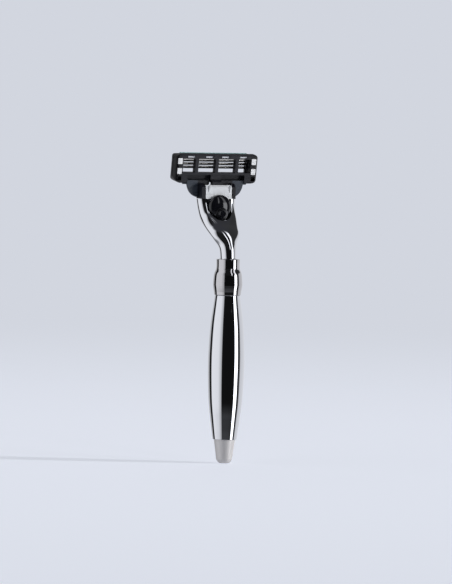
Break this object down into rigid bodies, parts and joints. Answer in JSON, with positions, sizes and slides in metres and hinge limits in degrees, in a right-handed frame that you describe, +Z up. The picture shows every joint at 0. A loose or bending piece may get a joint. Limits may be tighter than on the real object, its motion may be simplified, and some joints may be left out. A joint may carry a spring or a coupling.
{
  "type": "cartridge razor",
  "caption": "Cartridge razor with a waisted chrome handle, a black release button and a sprung, pivoting blade cartridge.",
  "frame": {"origin": "centre of the small flat end of the handle, on the handle's axis", "axes": "+Z up the handle to the cartridge, +Y the way the blades face, +X along the blades, with the release button on the -Y side"},
  "size_m": [0.0412, 0.028, 0.1365],
  "materials": {
    "chrome": "polished",
    "nickel": "polished",
    "satin_nickel": "satin",
    "steel": "bright",
    "blade_steel": "dark coated",
    "grey_plastic": "satin metallic grey",
    "dark_plastic": "moulded",
    "gloss_plastic": "gloss",
    "slate_plastic": "satin",
    "rubber": "finned",
    "aqua_strip": "waxy"
  },
  "bodies": {
    "handle": {"handle_tip": "satin_nickel", "barrel": "chrome", "collar": "nickel", "tie_rod": "steel", "neck": "chrome", "connector_body": "grey_plastic", "plunger_spring": "steel"},
    "button": {"release_button": "gloss_plastic", "ejector": "dark_plastic"},
    "plunger_body": {"plunger": "dark_plastic"},
    "refill_connector": {"interconnect": "slate_plastic"},
    "cartridge": {"blade_housing": "dark_plastic", "guard_strip": "rubber", "lubricating_strip": "aqua_strip", "clip_left": "steel", "clip_right": "steel", "blade_1": "blade_steel", "blade_2": "blade_steel", "blade_3": "blade_steel", "blade_support_1": "steel", "blade_support_2": "steel", "blade_support_3": "steel"}
  },
  "joints": [
    {"name": "cartridge_release", "type": "slide", "parent": "handle", "child": "refill_connector", "axis": [0, 0, 1], "range_m": [0, 0.014]},
    {"name": "cartridge_pivot", "type": "hinge", "parent": "refill_connector", "child": "cartridge", "pos_m": [0, 0.01829, 0.1252], "axis": [1, 0, 0], "range_deg": [0, 40], "stiffness_Nm_per_rad": 0.02, "springref_deg": -11.46},
    {"name": "plunger_slide", "type": "slide", "parent": "handle", "child": "plunger_body", "axis": [0, 0, 1], "range_m": [-0.0033, 0], "deforming": ["plunger_spring"]},
    {"name": "button_slide", "type": "slide", "parent": "handle", "child": "button", "axis": [0, 0, 1], "range_m": [0, 0.003], "stiffness_N_per_m": 400, "springref_m": -0.001}
  ],
  "couplings": [
    {"joint": "plunger_slide", "follows": "cartridge_pivot", "m_per_rad": -0.00444}
  ]
}
